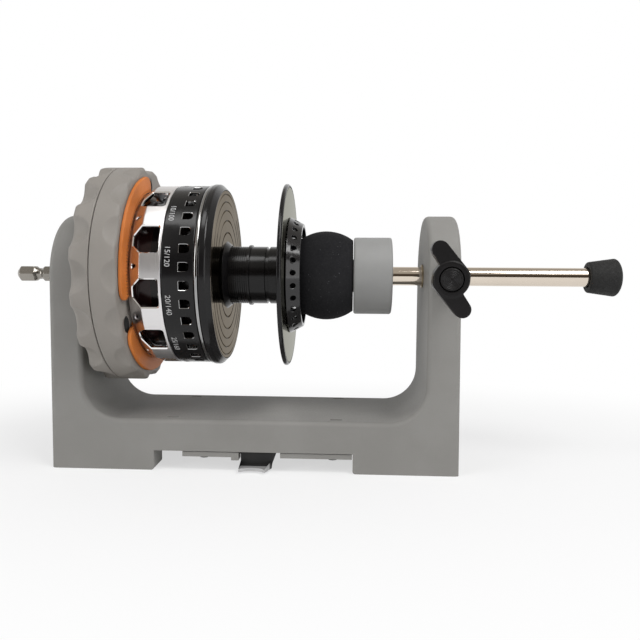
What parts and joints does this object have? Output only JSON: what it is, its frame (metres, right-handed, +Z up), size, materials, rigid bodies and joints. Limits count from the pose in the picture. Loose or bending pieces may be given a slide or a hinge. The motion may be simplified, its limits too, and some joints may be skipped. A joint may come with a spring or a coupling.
{
  "type": "fishing line winding stand",
  "caption": "Bench line winder: a U-shaped stand with a drill-driven three-jaw scroll chuck, a reel spool, and a sliding tail rod with a rubber live centre and a wing clamp knob.",
  "frame": {"origin": "centre of the whole object's length and width, on the bench that its feet rest on", "axes": "+X along the spindle, from the drill shank to the tail rod's cap; -Y is the front, where the clamp knob is; +Z up"},
  "size_m": [0.2608, 0.0914, 0.1254],
  "materials": {
    "grey_moulding": "fine matt moulded grain",
    "pale_grey_plastic": "smooth satin",
    "dark_sheet": "dark satin coating",
    "plated_steel": "bright plated",
    "chromed_rod": "polished",
    "brass": "turned",
    "orange_pad": "grippy satin",
    "polished_aluminium": "polished",
    "black_anodised": "glossy black anodised",
    "turned_face": "turned with fine rings",
    "pale_plate": "satin",
    "black_rubber": "matt with fine speckle",
    "black_plastic": "satin moulded",
    "dark_screw": "blackened"
  },
  "bodies": {
    "stand": {"frame": "grey_moulding", "bottom_cover": "grey_moulding", "cover_screw_1": "dark_screw", "cover_screw_2": "dark_screw", "cover_screw_3": "dark_screw", "cover_screw_4": "dark_screw", "saddle_screw_1": "dark_screw", "saddle_screw_2": "dark_screw", "rod_saddle": "dark_sheet", "spindle_bearing_1": "plated_steel", "spindle_bearing_2": "plated_steel", "rod_bush": "brass", "clamp_insert": "brass"},
    "chuck": {"drive_spindle": "plated_steel", "spindle_nut": "plated_steel", "scroll_retainer": "plated_steel", "chuck_body": "grey_moulding", "spool_skirt": "polished_aluminium", "spool_drum": "black_anodised", "spool_band": "black_anodised", "trim_ring": "polished_aluminium", "line_flange": "black_anodised", "flange_face": "turned_face", "spool_arbor": "black_anodised", "front_lip": "black_anodised", "lip_plate": "pale_plate", "nose_ring": "black_anodised"},
    "grip_ring": {"scroll_ring": "grey_moulding"},
    "jaw_1": {"jaw_slide_1": "plated_steel", "jaw_pad_1": "orange_pad", "jaw_screw_1": "dark_screw"},
    "jaw_2": {"jaw_slide_2": "plated_steel", "jaw_pad_2": "orange_pad", "jaw_screw_2": "dark_screw"},
    "jaw_3": {"jaw_slide_3": "plated_steel", "jaw_pad_3": "orange_pad", "jaw_screw_3": "dark_screw"},
    "tail": {"tail_rod": "chromed_rod", "rod_clip": "plated_steel", "end_cap": "black_rubber"},
    "live_centre": {"rubber_ball": "black_rubber", "collar": "pale_grey_plastic", "collar_bearing_1": "plated_steel", "collar_bearing_2": "plated_steel"},
    "clamp": {"clamp_pad": "brass"},
    "knob": {"wing_knob": "black_plastic", "knob_cap": "black_plastic", "knob_stud": "plated_steel"}
  },
  "joints": [
    {"name": "chuck_spin", "type": "hinge", "parent": "stand", "child": "chuck", "pos_m": [0, 0, 0.0797], "axis": [1, 0, 0], "continuous": true},
    {"name": "scroll_turn", "type": "hinge", "parent": "chuck", "child": "grip_ring", "pos_m": [0, 0, 0.0797], "axis": [1, 0, 0], "range_deg": [0, 270]},
    {"name": "jaw_1_slide", "type": "slide", "parent": "chuck", "child": "jaw_1", "axis": [0, -0.809, 0.5878], "range_m": [0, 0.0037]},
    {"name": "jaw_2_slide", "type": "slide", "parent": "chuck", "child": "jaw_2", "axis": [0, 0.9135, 0.4067], "range_m": [0, 0.0037]},
    {"name": "jaw_3_slide", "type": "slide", "parent": "chuck", "child": "jaw_3", "axis": [0, -0.1045, -0.9945], "range_m": [0, 0.0037]},
    {"name": "tail_rod_slide", "type": "slide", "parent": "stand", "child": "tail", "axis": [1, 0, 0], "range_m": [0, 0.012]},
    {"name": "live_centre_spin", "type": "hinge", "parent": "tail", "child": "live_centre", "pos_m": [0, 0, 0.0797], "axis": [1, 0, 0], "continuous": true},
    {"name": "clamp_feed", "type": "slide", "parent": "stand", "child": "clamp", "axis": [0, -1, 0], "range_m": [0, 0.001]},
    {"name": "knob_turn", "type": "hinge", "parent": "clamp", "child": "knob", "pos_m": [0.05378, 0, 0.0797], "axis": [0, -1, 0], "range_deg": [0, 360]}
  ],
  "couplings": [
    {"joint": "jaw_1_slide", "follows": "scroll_turn", "m_per_rad": 0.00076394},
    {"joint": "jaw_2_slide", "follows": "scroll_turn", "m_per_rad": 0.00076394},
    {"joint": "jaw_3_slide", "follows": "scroll_turn", "m_per_rad": 0.00076394},
    {"joint": "live_centre_spin", "follows": "chuck_spin", "ratio": 1},
    {"joint": "knob_turn", "follows": "clamp_feed", "rad_per_m": 6283}
  ]
}
